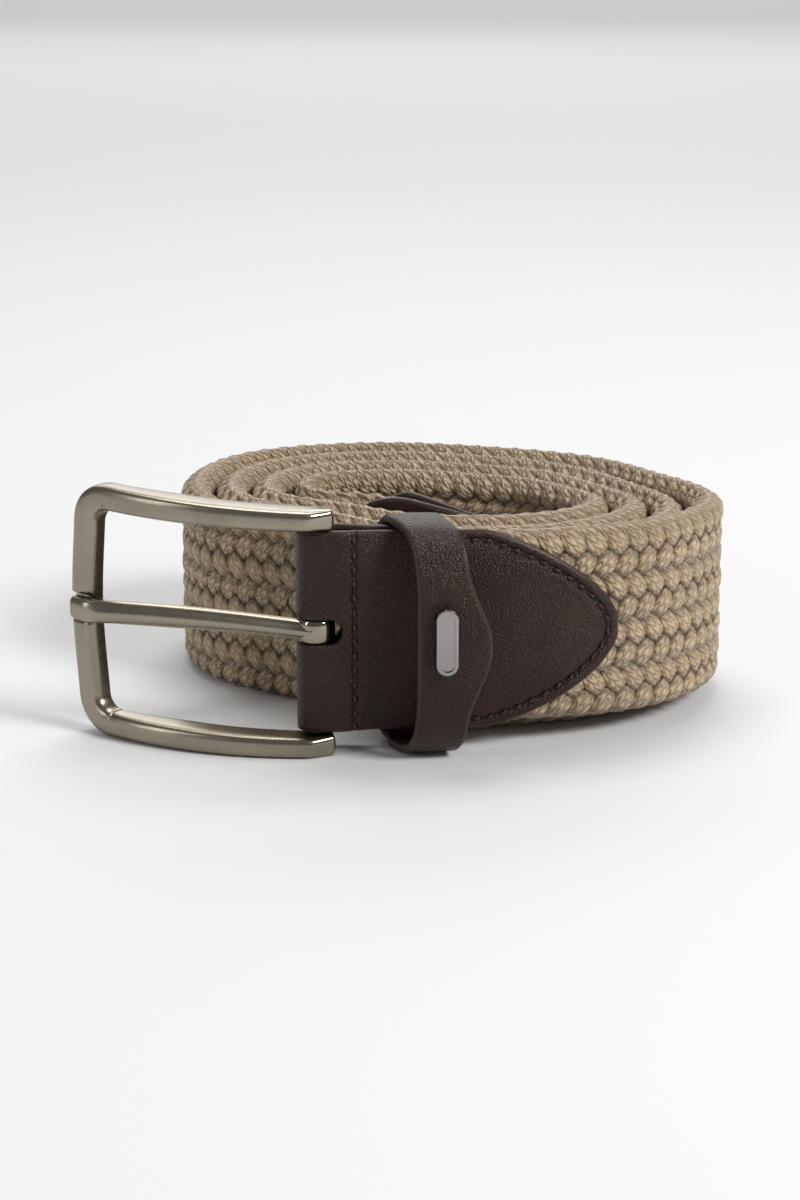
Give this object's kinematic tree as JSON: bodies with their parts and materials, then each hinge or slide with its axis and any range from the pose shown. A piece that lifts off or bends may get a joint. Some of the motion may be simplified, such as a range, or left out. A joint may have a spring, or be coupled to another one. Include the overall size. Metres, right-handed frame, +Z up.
{
  "type": "braided belt",
  "caption": "Braided stretch belt rolled up on its edge, with leather ends, a leather keeper and a curved metal frame buckle with a tongue.",
  "frame": {"origin": "middle of the belt's footprint on the floor it stands on", "axes": "+Z up along the strap's width, -X towards the buckle's far bar, -Y towards the buckle's outer face"},
  "size_m": [0.115, 0.1026, 0.0445],
  "materials": {
    "braid": "woven matt cord",
    "leather": "fine grained, low sheen",
    "satin_metal": "satin",
    "bright_metal": "polished"
  },
  "bodies": {
    "strap": {"braid_strap": "braid", "leather_chape": "leather", "tip_tab": "leather", "keeper_loop": "leather", "keeper_stud": "bright_metal"},
    "frame": {"buckle_frame": "satin_metal"},
    "tongue": {"buckle_prong": "satin_metal"}
  },
  "joints": [
    {"name": "frame_swing", "type": "hinge", "parent": "strap", "child": "frame", "pos_m": [-0.01465, -0.04033, 0.022], "axis": [0, 0, 1], "range_deg": [-25, 30]},
    {"name": "tongue_swing", "type": "hinge", "parent": "frame", "child": "tongue", "pos_m": [-0.01465, -0.04033, 0.022], "axis": [0, 0, 1], "range_deg": [0, 90]}
  ]
}
